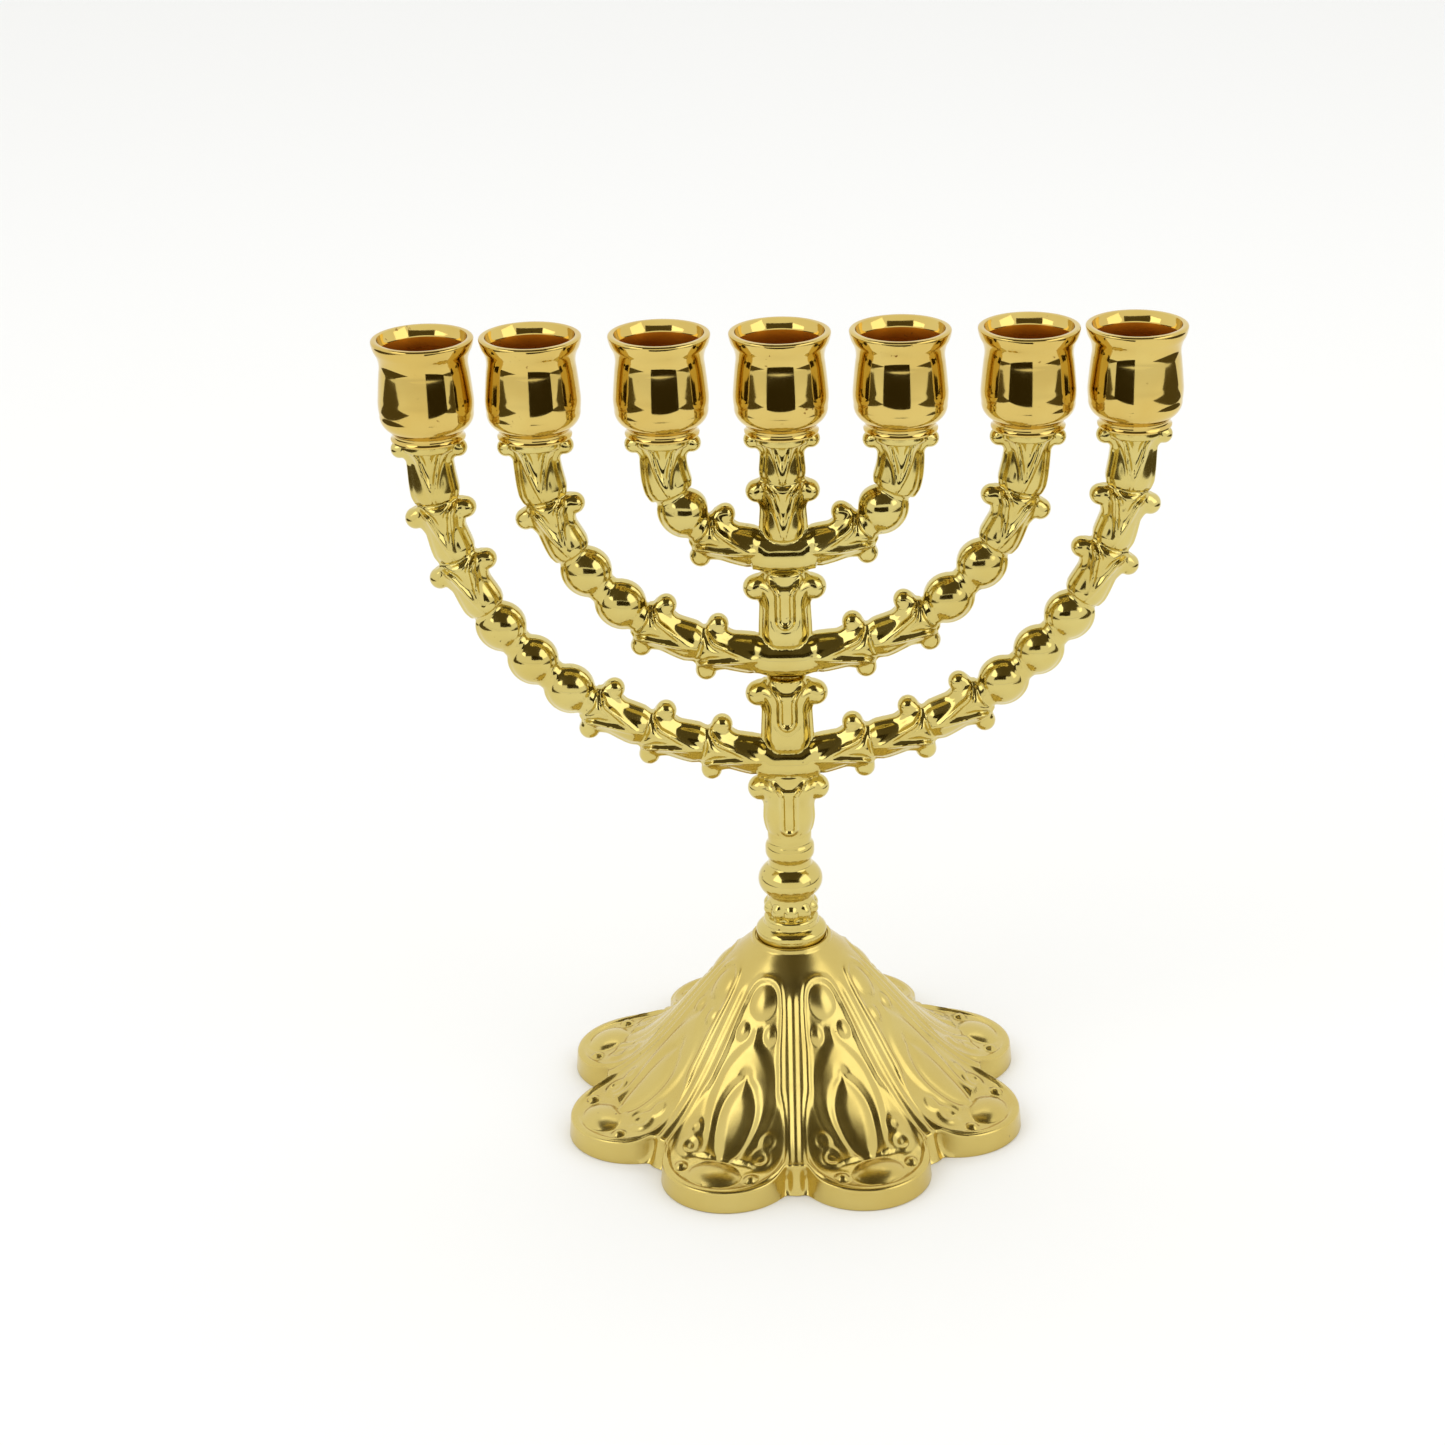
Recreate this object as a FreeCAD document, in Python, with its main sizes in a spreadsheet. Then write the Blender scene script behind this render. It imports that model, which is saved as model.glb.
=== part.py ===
import FreeCAD, Part
import math
import os
import Sketcher
from FreeCAD import Placement, Rotation, Vector

# Seven-branch candle holder: a one-piece cast branch frame stands on a hollow eight-petal base and
# carries seven turned cups. A screw from below clamps the frame to the base, and a pan-head screw
# through each cup's floor holds the cup on its branch tip.
# Origin: centre of the base's underside. +Z up, branches spread along X. Millimetres.

DIMENSIONS = [
    # base shell
    ("petal_count", 8),
    ("petal_ring", 36.6),
    ("petal_round", 13.8),
    ("petal_rise", 4.6),
    ("shell_wall", 1.6),
    ("dome_foot_reach", 40.6),
    ("dome_foot_rise", 4.8),
    ("dome_flank_reach", 33.0),
    ("dome_flank_rise", 12.2),
    ("dome_hip_reach", 24.0),
    ("dome_hip_rise", 22.6),
    ("dome_lip_reach", 9.0),
    ("dome_lip_rise", 38.2),
    ("seat_rise", 38.4),
    ("seat_reach", 8.2),
    ("lip_top", 39.0),
    ("boss_reach", 7.0),
    ("boss_depth", 5.0),
    ("clamp_hole", 2.56),
    # stem
    ("foot_ring_reach", 5.6),
    ("foot_ring_round", 2.15),
    ("foot_reach", 6.9),
    ("band_reach", 5.6),
    ("band_low", 42.2),
    ("band_high", 48.6),
    ("ball_rise", 52.0),
    ("ball_reach", 6.5),
    ("ball_half_rise", 4.6),
    ("drum_rise", 58.7),
    ("drum_core", 2.9),
    ("drum_round", 2.3),
    ("stem_core", 4.1),
    ("stem_low", 50.0),
    ("stem_foot", 62.6),
    ("stem_neck", 140.0),
    ("stem_narrow", 4.6),
    ("stem_wide", 4.9),
    ("stem_top_narrow", 4.2),
    ("stem_top_wide", 4.5),
    # crossings of the three pairs of branches, from the lowest up
    ("outer_cross", 78.7),
    ("middle_cross", 101.8),
    ("inner_cross", 124.2),
    ("cross_reach", 4.4),
    ("cross_half", 5.6),
    ("cross_sink", 1.2),
    # branches
    ("outer_reach", 69.3),
    ("outer_arc", 67.0),
    ("middle_reach", 48.4),
    ("middle_arc", 45.5),
    ("inner_reach", 23.4),
    ("inner_arc", 18.6),
    ("outer_arc_rise", 148.2),
    ("middle_arc_rise", 148.2),
    ("inner_arc_rise", 144.4),
    ("branch_core", 3.5),
    ("run_core", 3.25),
    ("tip_rise", 149.5),
    ("bead_reach", 5.0),
    ("capital_pitch", 12.2),
    ("bead_pitch", 9.4),
    ("capital_start", 5.4),
    ("capital_mouth", 9.3),
    ("capital_overrun", 0.6),
    ("tip_overrun", 1.5),
    ("calyx_narrow", 3.9),
    ("calyx_wide", 4.5),
    ("scroll_bar", 1.7),
    ("scroll_round", 2.1),
    ("scroll_spread", 5.1),
    ("tip_scroll_spread", 5.9),
    ("tip_pad_reach", 5.6),
    ("tip_pad_thick", 1.6),
    # cups
    ("cup_rise", 20.5),
    ("cup_foot_reach", 7.35),
    ("cup_foot_edge", 0.4),
    ("cup_waist_reach", 6.95),
    ("cup_waist_rise", 1.5),
    ("cup_bulb_reach", 9.35),
    ("cup_bulb_rise", 7.4),
    ("cup_bulb_low", 7.9),
    ("cup_bulb_low_rise", 2.7),
    ("cup_neck_reach", 8.85),
    ("cup_neck_rise", 13.4),
    ("cup_rim_reach", 10.0),
    ("cup_rim_low", 18.8),
    ("cup_bore", 8.0),
    ("cup_mouth", 8.7),
    ("cup_mouth_depth", 1.4),
    ("cup_floor", 3.5),
    ("cup_recess_reach", 3.2),
    ("cup_recess_depth", 1.8),
    ("cup_screw_hole", 1.55),
    # screws and washers
    ("cup_screw_reach", 1.5),
    ("cup_screw_length", 9.0),
    ("cup_head_reach", 2.8),
    ("cup_head_rise", 1.7),
    ("head_gap", 0.05),
    ("driver_slot", 0.8),
    ("driver_depth", 0.9),
    ("clamp_reach", 2.5),
    ("clamp_length", 22.0),
    ("clamp_head_reach", 4.2),
    ("clamp_head_rise", 3.2),
    ("washer_reach", 5.4),
    ("washer_thick", 1.0),
    ("spring_washer_reach", 4.4),
    ("spring_washer_thick", 1.3),
    ("spring_washer_gap", 0.8),
]


class Size:
    """A number together with the spreadsheet expression that gives it."""

    def __init__(self, value, text):
        self.value = float(value)
        self.text = text

    @staticmethod
    def of(other):
        if isinstance(other, Size):
            return other
        return Size(other, f"{float(other):.6g}")

    def join(self, other, sign, value):
        return Size(value, f"({self.text} {sign} {Size.of(other).text})")

    def __add__(self, other):
        return self.join(other, "+", self.value + Size.of(other).value)

    def __sub__(self, other):
        return self.join(other, "-", self.value - Size.of(other).value)

    def __mul__(self, other):
        return self.join(other, "*", self.value * Size.of(other).value)

    def __truediv__(self, other):
        return self.join(other, "/", self.value / Size.of(other).value)

    def __neg__(self):
        return Size(-self.value, f"(-1 * {self.text})")


doc = FreeCAD.newDocument("candle_holder")
sheet = doc.addObject("Spreadsheet::Sheet", "dims")
for row, (alias, number) in enumerate(DIMENSIONS, start=1):
    sheet.set(f"A{row}", alias)
    sheet.set(f"B{row}", f"{number:g}")
    sheet.setAlias(f"B{row}", alias)
doc.recompute()
dim = {alias: Size(number, f"dims.{alias}") for alias, number in DIMENSIONS}


def bind(thing, **sizes):
    """Tie properties of a document object to the sheet."""
    for name, size in sizes.items():
        thing.setExpression(name, Size.of(size).text)


def bind_place(thing, x=0, y=0, z=0, rotation=None):
    """Turn an object, then tie its position to the sheet."""
    if rotation is not None:
        thing.Placement = Placement(Vector(), rotation)
    for axis, size in zip("xyz", (x, y, z)):
        thing.setExpression(f"Placement.Base.{axis}", Size.of(size).text)
    return thing


def primitive(kind, name, **sizes):
    thing = doc.addObject(f"Part::{kind}", name)
    bind(thing, **sizes)
    return thing


def plane_of(body, role):
    for feature in body.Origin.OriginFeatures:
        if feature.Role == role:
            return feature
    raise RuntimeError(role)


class Profile:
    """A closed half-profile in a body's XZ plane, with every corner tied to the sheet."""

    def __init__(self, body, name):
        self.sketch = body.newObject("Sketcher::SketchObject", name)
        self.sketch.AttachmentSupport = (plane_of(body, "XZ_Plane"), "")
        self.sketch.MapMode = "FlatFace"
        self.corners = []
        self.bulges = []

    def at(self, reach, rise, bulge=None):
        """Add a corner; bulge is the height of the arc that leads to it, left of travel positive."""
        self.corners.append((Size.of(reach), Size.of(rise)))
        self.bulges.append(bulge)
        return self

    def close(self):
        sketch = self.sketch
        count = len(self.corners)
        points = [Vector(reach.value, rise.value, 0) for reach, rise in self.corners]
        for index in range(count):
            start = points[index - 1]
            end = points[index]
            bulge = self.bulges[index]
            if bulge is None:
                sketch.addGeometry(Part.LineSegment(start, end), False)
            else:
                chord = end - start
                left = Vector(-chord.y, chord.x, 0).normalize()
                middle = (start + end) * 0.5 + left * bulge
                sketch.addGeometry(Part.Arc(start, middle, end), False)
        for index in range(count):
            self.join_corner(index, (index + 1) % count)
        for index, (reach, rise) in enumerate(self.corners):
            self.pin_corner(index, reach, rise)
        return sketch

    def end_of(self, index, first):
        """Vertex number of an edge's first or last point, which an arc may hold in reverse."""
        want = self.corners[index - 1] if first else self.corners[index]
        place = self.sketch.getPoint(index, 1)
        near = math.hypot(place.x - want[0].value, place.y - want[1].value) < 1e-6
        return 1 if near else 2

    def join_corner(self, index, following):
        joint = Sketcher.Constraint("Coincident", index, self.end_of(index, False),
                                    following, self.end_of(following, True))
        self.sketch.addConstraint(joint)

    def pin_corner(self, index, reach, rise):
        vertex = self.end_of(index, False)
        for kind, size in (("DistanceX", reach), ("DistanceY", rise)):
            if abs(size.value) < 1e-9:
                onto = -2 if kind == "DistanceX" else -1
                self.sketch.addConstraint(Sketcher.Constraint("PointOnObject", index, vertex, onto))
                continue
            rule = Sketcher.Constraint(kind, -1, 1, index, vertex, size.value)
            number = self.sketch.addConstraint(rule)
            self.sketch.setExpression(f"Constraints[{number}]", size.text)


def turned_body(name, profile):
    """A body of revolution about Z from a profile builder."""
    body = doc.addObject("PartDesign::Body", name)
    sketch = profile(Profile(body, f"{name}_outline")).close()
    turn = body.newObject("PartDesign::Revolution", f"{name}_turn")
    turn.Profile = sketch
    turn.ReferenceAxis = (sketch, ["V_Axis"])
    turn.Angle = 360
    body.Tip = turn
    return body


# Base shell ------------------------------------------------------------------------------------

def dome(outline, inset):
    """The dome's solid of revolution, shrunk by an inset for the hollow side."""
    foot = -1.0 * inset.value
    outline.at(0, foot)
    outline.at(dim["dome_foot_reach"] - inset, foot)
    outline.at(dim["dome_foot_reach"] - inset, dim["dome_foot_rise"] - inset)
    outline.at(dim["dome_flank_reach"] - inset, dim["dome_flank_rise"] - inset, -0.7)
    outline.at(dim["dome_hip_reach"] - inset, dim["dome_hip_rise"] - inset)
    outline.at(dim["dome_lip_reach"] + inset, dim["dome_lip_rise"] - inset * 2.2, 1.0)
    outline.at(0, dim["dome_lip_rise"] - inset * 2.2)
    return outline


def petal_set(name, reach, rise, drop):
    """Cylinders in a ring that make the petals, from drop below the floor up to rise."""
    petals = []
    count = int(dim["petal_count"].value)
    for index in range(count):
        angle = math.radians((index + 0.5) * 360.0 / count - 90.0)
        petal = primitive("Cylinder", f"{name}_{index + 1}", Radius=reach, Height=rise + drop)
        bind_place(petal, dim["petal_ring"] * math.cos(angle), dim["petal_ring"] * math.sin(angle),
                   Size.of(drop) * -1)
        petals.append(petal)
    return petals


def fuse(name, shapes):
    joined = doc.addObject("Part::MultiFuse", name)
    joined.Shapes = shapes
    return joined


def cut(name, base, tool):
    trimmed = doc.addObject("Part::Cut", name)
    trimmed.Base = base
    trimmed.Tool = tool
    return trimmed


def make_base():
    wall = dim["shell_wall"]
    outer_dome = turned_body("dome_outside", lambda outline: dome(outline, Size.of(0)))
    outer = fuse("shell_outside", [outer_dome, *petal_set("petal", dim["petal_round"],
                                                          dim["petal_rise"], 0)])
    inner_dome = turned_body("dome_inside", lambda outline: dome(outline, wall))
    hollow = fuse("shell_hollow", [inner_dome, *petal_set("hollow_petal", dim["petal_round"] - wall,
                                                          dim["petal_rise"] - wall, 1)])
    shell = cut("shell_open", outer, hollow)
    lip = primitive("Cylinder", "lip", Radius=dim["dome_lip_reach"],
                    Height=dim["lip_top"] - dim["dome_lip_rise"] + 1.0)
    bind_place(lip, z=dim["dome_lip_rise"] - 1.0)
    boss = primitive("Cylinder", "boss", Radius=dim["boss_reach"], Height=dim["boss_depth"])
    bind_place(boss, z=dim["seat_rise"] - dim["boss_depth"])
    whole = fuse("shell_bossed", [shell, lip, boss])
    seat = primitive("Cylinder", "seat", Radius=dim["seat_reach"], Height=5)
    bind_place(seat, z=dim["seat_rise"])
    hole = primitive("Cylinder", "clamp_hole", Radius=dim["clamp_hole"], Height=20)
    bind_place(hole, z=dim["seat_rise"] - 15.0)
    base = cut("base", whole, fuse("seat_and_hole", [seat, hole]))
    return base


# Branch frame ----------------------------------------------------------------------------------

class Path:
    """Centreline of one branch: a straight run out of the stem, an arc, then straight up."""

    def __init__(self, pair, side):
        self.side = side
        self.cross = dim[f"{pair}_cross"].value
        self.tip = dim[f"{pair}_reach"].value
        self.arc = dim[f"{pair}_arc"].value
        self.centre_rise = dim[f"{pair}_arc_rise"].value
        self.centre_reach = self.tip - self.arc
        drop = self.cross - self.centre_rise
        gap = math.hypot(self.centre_reach, drop)
        self.touch = math.atan2(drop, -self.centre_reach) + math.acos(self.arc / gap)
        self.run = math.sqrt(gap ** 2 - self.arc ** 2)
        self.sweep = -self.touch * self.arc
        self.length = self.run + self.sweep + dim["tip_rise"].value - self.centre_rise

    def place(self, along):
        """Position and direction at a distance along the branch."""
        if along < self.run:
            angle = self.touch + math.pi / 2
            reach = along * math.cos(angle)
            rise = self.cross + along * math.sin(angle)
        elif along < self.run + self.sweep:
            turn = self.touch + (along - self.run) / self.arc
            angle = turn + math.pi / 2
            reach = self.centre_reach + self.arc * math.cos(turn)
            rise = self.centre_rise + self.arc * math.sin(turn)
        else:
            angle = math.pi / 2
            reach = self.tip
            rise = self.centre_rise + along - self.run - self.sweep
        if self.side < 0:
            angle = math.pi - angle
        return Vector(self.side * reach, 0, rise), Vector(math.cos(angle), 0, math.sin(angle))


BRANCH_ORDERS = {
    "outer": ["capital"] * 3 + ["bead"] * 3 + ["capital"] * 3,
    "middle": ["capital"] * 2 + ["bead"] * 2 + ["capital"] * 2,
    "inner": ["capital", "bead", "capital"],
}


def capital(name, start, along, length, spread, overrun, narrow=dim["calyx_narrow"],
            wide=dim["calyx_wide"]):
    """A flared calyx whose mouth ends in two ball-ended scrolls, one each side."""
    mouth = length * dim["capital_mouth"].value / dim["capital_pitch"].value
    across = Vector(0, 1, 0).cross(along)
    calyx = primitive("Cone", f"{name}_calyx", Radius1=narrow, Radius2=wide)
    calyx.Height = length + overrun.value
    calyx.Placement = Placement(start, Rotation(Vector(0, 0, 1), along))
    bar = primitive("Cylinder", f"{name}_bar", Radius=dim["scroll_bar"], Height=spread * 2)
    bar.Placement = Placement(start + along * mouth - across * spread.value,
                              Rotation(Vector(0, 0, 1), across))
    pieces = [calyx, bar]
    for side in (-1, 1):
        ball = primitive("Sphere", f"{name}_scroll_{'left' if side < 0 else 'right'}",
                         Radius=dim["scroll_round"])
        ball.Placement = Placement(start + along * mouth + across * spread.value * side, Rotation())
        pieces.append(ball)
    return pieces


def branch(pair, side):
    path = Path(pair, side)
    name = f"{pair}_{'left' if side < 0 else 'right'}"
    pieces = []
    run = primitive("Cylinder", f"{name}_run", Radius=dim["run_core"])
    start, along = path.place(0)
    run.Height = path.run + 2.0
    run.Placement = Placement(start, Rotation(Vector(0, 0, 1), along))
    pieces.append(run)
    arc = primitive("Torus", f"{name}_arc", Radius1=dim[f"{pair}_arc"], Radius2=dim["branch_core"])
    arc.Angle3 = math.degrees(path.sweep / path.arc)
    upright = Rotation(Vector(1, 0, 0), 90)
    turn = math.degrees(path.touch) if side > 0 else 180.0
    centre = dim[f"{pair}_reach"] - dim[f"{pair}_arc"]
    bind_place(arc, centre * side, 0, dim[f"{pair}_arc_rise"],
               upright * Rotation(Vector(0, 0, 1), turn))
    pieces.append(arc)
    tip = primitive("Cylinder", f"{name}_tip", Radius=dim["run_core"],
                    Height=dim["tip_rise"] - dim[f"{pair}_arc_rise"] + 3.0)
    pieces.append(bind_place(tip, dim[f"{pair}_reach"] * side, 0, dim[f"{pair}_arc_rise"] - 2.0))
    order = BRANCH_ORDERS[pair]
    pitch = {"capital": dim["capital_pitch"].value, "bead": dim["bead_pitch"].value}
    nominal = sum(pitch[kind] for kind in order)
    stretch = (path.length - dim["capital_start"].value) / nominal
    along_path = dim["capital_start"].value
    for number, kind in enumerate(order, start=1):
        length = pitch[kind] * stretch
        if kind == "bead":
            bead = primitive("Sphere", f"{name}_bead_{number}", Radius=dim["bead_reach"])
            bead.Placement = Placement(path.place(along_path + length / 2)[0], Rotation())
            pieces.append(bead)
        else:
            begin = path.place(along_path)[0]
            end = path.place(along_path + length)[0]
            direction = (end - begin).normalize()
            last = number == len(order)
            spread = dim["tip_scroll_spread"] if last else dim["scroll_spread"]
            span = (end - begin).Length
            overrun = dim["tip_overrun"] if last else dim["capital_overrun"]
            pieces += capital(f"{name}_capital_{number}", begin, direction, span, spread, overrun)
        along_path += length
    pieces.append(tip_pad(name, dim[f"{pair}_reach"] * side))
    return pieces


def tip_pad(name, reach):
    pad = primitive("Cylinder", f"{name}_pad", Radius=dim["tip_pad_reach"],
                    Height=dim["tip_pad_thick"] + 1.0)
    return bind_place(pad, reach, 0, dim["tip_rise"] - dim["tip_pad_thick"])


def stem():
    """The upright: crossings, five capitals, and the turned baluster that stands on the base."""
    pieces = []
    core = primitive("Cylinder", "stem_core", Radius=dim["stem_core"],
                     Height=dim["tip_rise"] - dim["stem_low"] + 1.0)
    pieces.append(bind_place(core, z=dim["stem_low"]))
    sideways = Rotation(Vector(0, 1, 0), 90)
    for pair in ("outer", "middle", "inner"):
        crossing = primitive("Cylinder", f"{pair}_crossing", Radius=dim["cross_reach"],
                             Height=dim["cross_half"] * 2)
        pieces.append(bind_place(crossing, -dim["cross_half"], 0, dim[f"{pair}_cross"], sideways))
    up = Vector(0, 0, 1)
    gap = dim["cross_reach"] - dim["cross_sink"]
    wide_spread = dim["tip_scroll_spread"]
    levels = [
        ("stem_1", dim["stem_foot"], dim["outer_cross"] - gap, wide_spread, "stem"),
        ("stem_2", dim["outer_cross"] + gap, dim["middle_cross"] - gap, wide_spread, "stem"),
        ("stem_3", dim["middle_cross"] + gap, dim["inner_cross"] - gap, wide_spread, "stem"),
        ("stem_4", dim["inner_cross"] + gap, dim["stem_neck"], dim["scroll_spread"], "stem_top"),
        ("stem_5", dim["stem_neck"], dim["tip_rise"], wide_spread, "stem_top"),
    ]
    for name, low, high, spread, size in levels:
        pieces += capital(name, Vector(0, 0, low.value), up, high.value - low.value, spread,
                          dim["capital_overrun"], dim[f"{size}_narrow"], dim[f"{size}_wide"])
    pieces.append(tip_pad("stem", 0))
    drum = primitive("Torus", "drum", Radius1=dim["drum_core"], Radius2=dim["drum_round"])
    pieces.append(bind_place(drum, z=dim["drum_rise"]))
    ball = primitive("Ellipsoid", "ball", Radius1=dim["ball_half_rise"], Radius2=dim["ball_reach"],
                     Radius3=dim["ball_reach"])
    pieces.append(bind_place(ball, z=dim["ball_rise"]))
    band = primitive("Cylinder", "band", Radius=dim["band_reach"],
                     Height=dim["band_high"] - dim["band_low"])
    pieces.append(bind_place(band, z=dim["band_low"]))
    ring = primitive("Torus", "foot_ring", Radius1=dim["foot_ring_reach"],
                     Radius2=dim["foot_ring_round"])
    pieces.append(bind_place(ring, z=dim["seat_rise"] + dim["foot_ring_round"] - 0.4))
    foot = primitive("Cylinder", "foot", Radius=dim["foot_reach"],
                     Height=dim["band_low"] - dim["seat_rise"] + 2.0)
    pieces.append(bind_place(foot, z=dim["seat_rise"] - 1.0))
    return pieces


def make_frame(tips):
    pieces = stem()
    for pair in ("outer", "middle", "inner"):
        for side in (-1, 1):
            pieces += branch(pair, side)
    casting = fuse("casting", pieces)
    tools = []
    for number, reach in enumerate(tips, start=1):
        hole = primitive("Cylinder", f"tip_hole_{number}", Radius=dim["cup_screw_reach"],
                         Height=dim["cup_screw_length"])
        depth = dim["cup_screw_length"] - dim["cup_floor"]
        tools.append(bind_place(hole, reach, 0, dim["tip_rise"] - depth))
    clamp = primitive("Cylinder", "clamp_thread", Radius=dim["clamp_reach"],
                      Height=dim["clamp_length"] + 1.0)
    tools.append(bind_place(clamp, z=dim["seat_rise"] - 8.0))
    flat = primitive("Box", "foot_trim", Length=40, Width=40, Height=10)
    tools.append(bind_place(flat, -20, -20, dim["seat_rise"] - 10.0))
    top = primitive("Box", "tip_trim", Length=200, Width=40, Height=10)
    tools.append(bind_place(top, -100, -20, dim["tip_rise"]))
    return cut("branch_frame", casting, fuse("frame_tools", tools))


# Cups and their screws ---------------------------------------------------------------------------

def cup_outline(outline):
    outline.at(dim["cup_screw_hole"], 0)
    outline.at(dim["cup_foot_reach"], 0)
    outline.at(dim["cup_foot_reach"], dim["cup_foot_edge"])
    outline.at(dim["cup_waist_reach"], dim["cup_waist_rise"], 0.08)
    outline.at(dim["cup_bulb_low"], dim["cup_bulb_low_rise"])
    outline.at(dim["cup_bulb_reach"], dim["cup_bulb_rise"], -0.55)
    outline.at(dim["cup_neck_reach"], dim["cup_neck_rise"], -0.12)
    outline.at(dim["cup_rim_reach"], dim["cup_rim_low"], 0.25)
    outline.at(dim["cup_mouth"], dim["cup_rise"], -0.55)
    outline.at(dim["cup_bore"], dim["cup_rise"] - dim["cup_mouth_depth"])
    outline.at(dim["cup_bore"], dim["cup_floor"] + dim["cup_recess_depth"])
    outline.at(dim["cup_recess_reach"], dim["cup_floor"] + dim["cup_recess_depth"])
    outline.at(dim["cup_recess_reach"], dim["cup_floor"])
    outline.at(dim["cup_screw_hole"], dim["cup_floor"])
    return outline


def make_cup(number, reach):
    cup = turned_body(f"cup_{number}", cup_outline)
    return bind_place(cup, reach, 0, dim["tip_rise"])


def make_cup_screw(number, reach):
    head = dim["cup_floor"] + dim["head_gap"]
    depth = dim["cup_screw_length"] - dim["cup_floor"]

    def outline(profile):
        profile.at(0, depth * -1)
        profile.at(dim["cup_screw_reach"], depth * -1)
        profile.at(dim["cup_screw_reach"], head)
        profile.at(dim["cup_head_reach"], head)
        profile.at(dim["cup_head_reach"], head + dim["cup_head_rise"] * 0.5)
        profile.at(0, head + dim["cup_head_rise"], 0.3 * -1)
        return profile

    blank = turned_body(f"cup_screw_blank_{number}", outline)
    slot = primitive("Box", f"cup_screw_slot_{number}", Length=dim["cup_head_reach"] * 3,
                     Width=dim["driver_slot"], Height=dim["driver_depth"] * 2)
    bind_place(slot, dim["cup_head_reach"] * -1.5, dim["driver_slot"] * -0.5,
               head + dim["cup_head_rise"] - dim["driver_depth"])
    return bind_place(cut(f"cup_screw_{number}", blank, slot), reach, 0, dim["tip_rise"])


def ring(name, inner, outer, thick, rise):
    disc = primitive("Cylinder", f"{name}_disc", Radius=outer, Height=thick)
    hole = primitive("Cylinder", f"{name}_hole", Radius=inner, Height=thick + 2.0)
    bind_place(hole, z=-1)
    return bind_place(cut(name, disc, hole), z=rise)


def make_clamp(stack_top):
    """Clamp screw with its flat and spring washers, listed from the base's boss down."""
    washer_rise = stack_top - dim["washer_thick"]
    spring_rise = washer_rise - dim["spring_washer_thick"]
    washer = ring("flat_washer", dim["clamp_hole"], dim["washer_reach"], dim["washer_thick"],
                  washer_rise)
    closed = ring("spring_washer_ring", dim["clamp_hole"], dim["spring_washer_reach"],
                  dim["spring_washer_thick"], 0)
    split = primitive("Box", "spring_washer_split", Length=dim["spring_washer_reach"] + 2.0,
                      Width=dim["spring_washer_gap"], Height=dim["spring_washer_thick"] + 2.0)
    bind_place(split, 0, dim["spring_washer_gap"] * -0.5, -1)
    spring = bind_place(cut("spring_washer", closed, split), z=spring_rise)

    def outline(profile):
        low = spring_rise - dim["head_gap"]
        profile.at(0, low - dim["clamp_head_rise"])
        profile.at(dim["clamp_head_reach"] - 0.6, low - dim["clamp_head_rise"])
        profile.at(dim["clamp_head_reach"], low - dim["clamp_head_rise"] + 0.8, 0.1 * -1)
        profile.at(dim["clamp_head_reach"], low)
        profile.at(dim["clamp_reach"], low)
        profile.at(dim["clamp_reach"], low + dim["clamp_length"])
        profile.at(0, low + dim["clamp_length"])
        return profile

    blank = turned_body("clamp_screw_blank", outline)
    slot = primitive("Box", "clamp_screw_slot", Length=dim["clamp_head_reach"] * 3,
                     Width=dim["driver_slot"] * 1.5, Height=4)
    bind_place(slot, dim["clamp_head_reach"] * -1.5, dim["driver_slot"] * -0.75,
               spring_rise - dim["head_gap"] - dim["clamp_head_rise"] + 1.4 - 4.0)
    return [washer, spring, cut("clamp_screw", blank, slot)]


# Assembly ---------------------------------------------------------------------------------------

def main():
    tips = [-dim["outer_reach"], -dim["middle_reach"], -dim["inner_reach"], Size.of(0),
            dim["inner_reach"], dim["middle_reach"], dim["outer_reach"]]
    parts = [make_base(), make_frame(tips)]
    for number, reach in enumerate(tips, start=1):
        parts.append(make_cup(number, reach))
        parts.append(make_cup_screw(number, reach))
    parts += make_clamp(dim["seat_rise"] - dim["boss_depth"])
    for part in parts:
        part.Label = part.Name
    doc.recompute()
    failed = [thing.Name for thing in doc.Objects if {"Invalid", "Error"} & set(thing.State)]
    if failed:
        raise RuntimeError(f"failed objects: {failed}")
    for part in parts:
        shape = part.Shape
        if shape.isNull() or not shape.isValid():
            raise RuntimeError(f"bad shape: {part.Label}")
        print(part.Label, "solids", len(shape.Solids), "volume", round(shape.Volume, 1))
    os.makedirs("parts", exist_ok=True)
    for part in parts:
        part.Shape.exportStep(f"parts/{part.Label}.step")


main()
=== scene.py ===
import math

import bpy
import numpy as np
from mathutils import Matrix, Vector


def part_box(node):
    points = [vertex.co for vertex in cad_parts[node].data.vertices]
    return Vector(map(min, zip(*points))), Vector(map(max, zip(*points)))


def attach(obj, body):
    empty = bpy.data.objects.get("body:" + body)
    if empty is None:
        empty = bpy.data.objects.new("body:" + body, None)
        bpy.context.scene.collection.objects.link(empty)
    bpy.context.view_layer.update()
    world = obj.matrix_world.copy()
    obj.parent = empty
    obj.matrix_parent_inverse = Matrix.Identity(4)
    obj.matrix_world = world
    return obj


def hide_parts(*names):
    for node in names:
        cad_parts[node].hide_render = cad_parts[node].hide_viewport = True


# Seven-branch candle holder: a cast branch frame on a petalled base, with seven turned cups.
# Shapes are worked out in millimetres and turned to metres when a mesh is made.

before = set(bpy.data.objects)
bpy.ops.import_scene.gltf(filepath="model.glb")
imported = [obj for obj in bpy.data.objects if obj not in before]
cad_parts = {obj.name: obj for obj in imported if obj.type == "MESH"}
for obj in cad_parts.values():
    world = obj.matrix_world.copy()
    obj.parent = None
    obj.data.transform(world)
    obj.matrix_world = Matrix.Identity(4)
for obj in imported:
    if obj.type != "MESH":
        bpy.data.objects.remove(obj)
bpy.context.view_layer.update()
MM = 0.001
CUPS = [f"cup_{number}" for number in range(1, 8)]


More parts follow.
